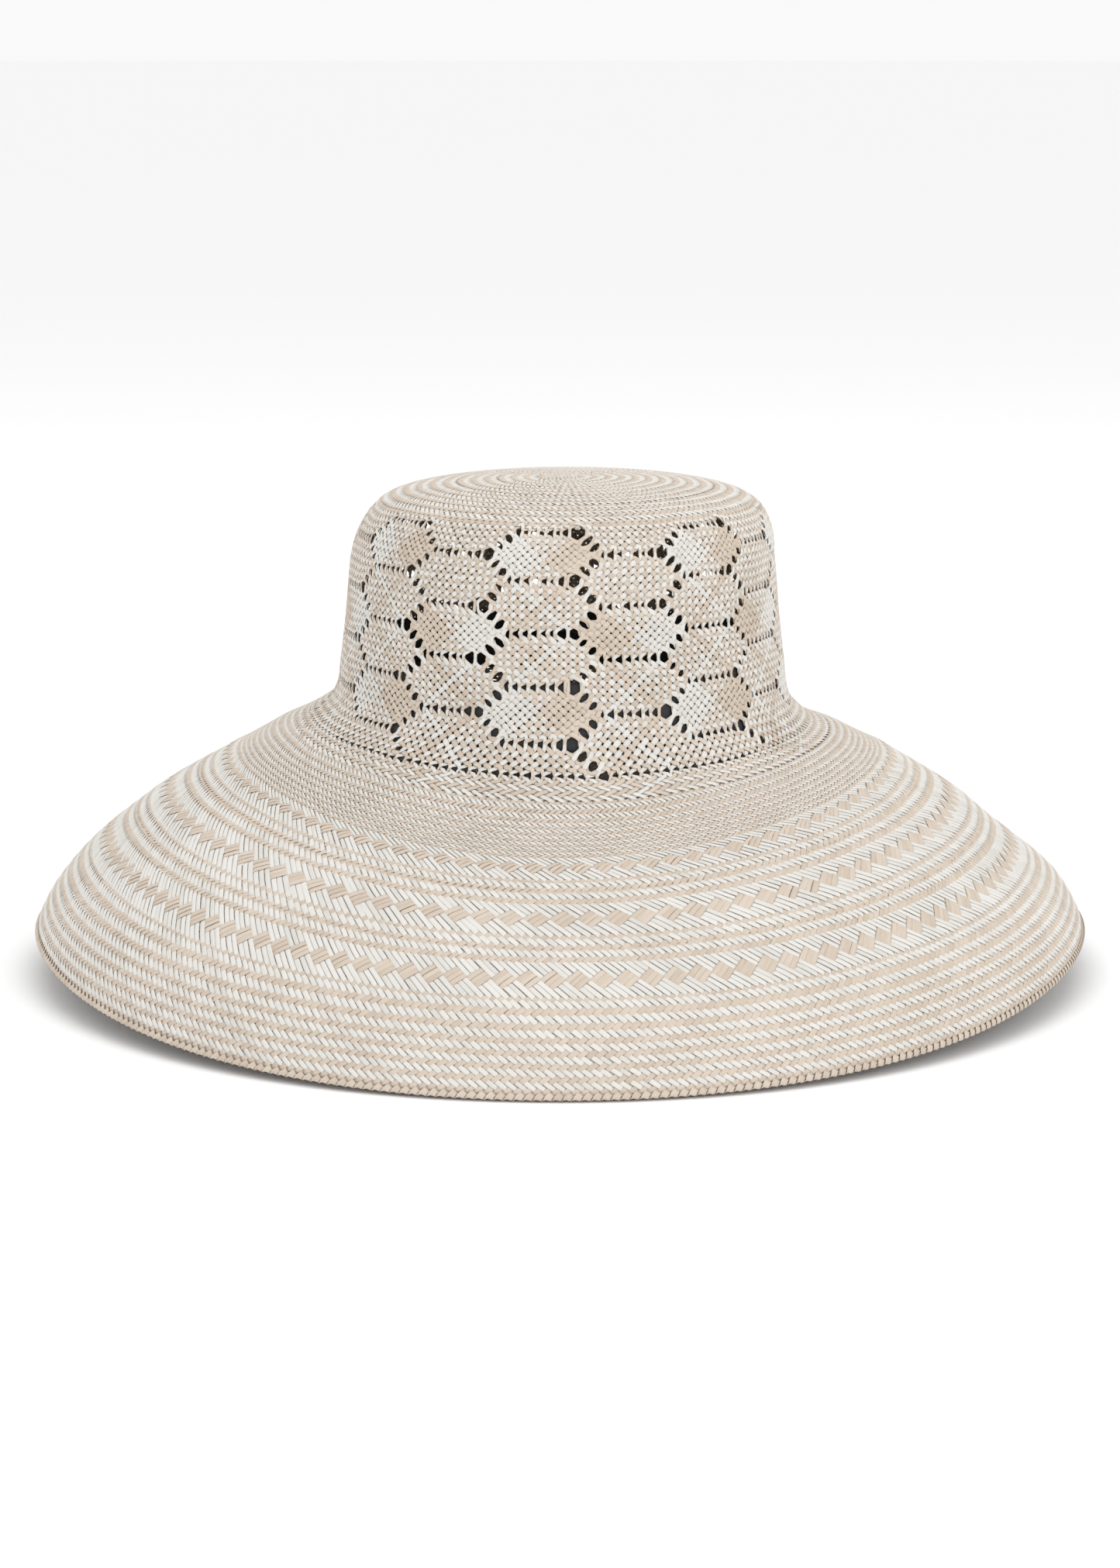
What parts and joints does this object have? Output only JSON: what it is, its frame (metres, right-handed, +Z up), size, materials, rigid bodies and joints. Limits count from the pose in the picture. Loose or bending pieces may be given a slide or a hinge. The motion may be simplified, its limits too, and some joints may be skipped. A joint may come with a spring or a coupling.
{
  "type": "panama hat",
  "caption": "Wide-brimmed woven straw hat with an openwork crown, rings of small diamonds round the brim and a dark sweatband inside.",
  "frame": {"origin": "middle of the plan outline, on the flat surface the hat rests on, brim down", "axes": "+Z up through the crown, -Y to the wearer's front, +X to the wearer's left; the head oval and brim are longest along Y"},
  "size_m": [0.4096, 0.4296, 0.1898],
  "materials": {
    "start_straw": "matt woven palm straw",
    "crown_top_straw": "matt woven palm straw in two tones",
    "openwork_straw": "matt plain weave with openings",
    "root_straw": "matt twill in two tones",
    "diamond_inner_straw": "white straw with natural diamonds",
    "twill_inner_straw": "matt twill in two tones",
    "diamond_middle_straw": "white straw with natural diamonds",
    "twill_outer_straw": "matt twill in two tones",
    "diamond_outer_straw": "white straw with natural diamonds",
    "outer_straw": "matt twill in two tones",
    "edge_straw": "matt braided straw",
    "band_ribbon": "ribbed black ribbon",
    "lap_ribbon": "ribbed black ribbon",
    "thread": "matt sewing thread",
    "bow_ribbon": "ribbed black ribbon"
  },
  "bodies": {
    "root": {"crown_start_plait": "start_straw", "crown_top_weave": "crown_top_straw", "crown_openwork_band": "openwork_straw", "brim_root_twill": "root_straw", "brim_diamond_band_inner": "diamond_inner_straw", "brim_twill_band_inner": "twill_inner_straw", "brim_diamond_band_middle": "diamond_middle_straw", "brim_twill_band_outer": "twill_outer_straw", "brim_diamond_band_outer": "diamond_outer_straw", "brim_outer_twill": "outer_straw", "brim_edge_braid": "edge_straw", "sweatband": "band_ribbon", "sweatband_lap": "lap_ribbon", "sweatband_stitching": "thread", "sweatband_bow": "bow_ribbon"}
  },
  "joints": []
}
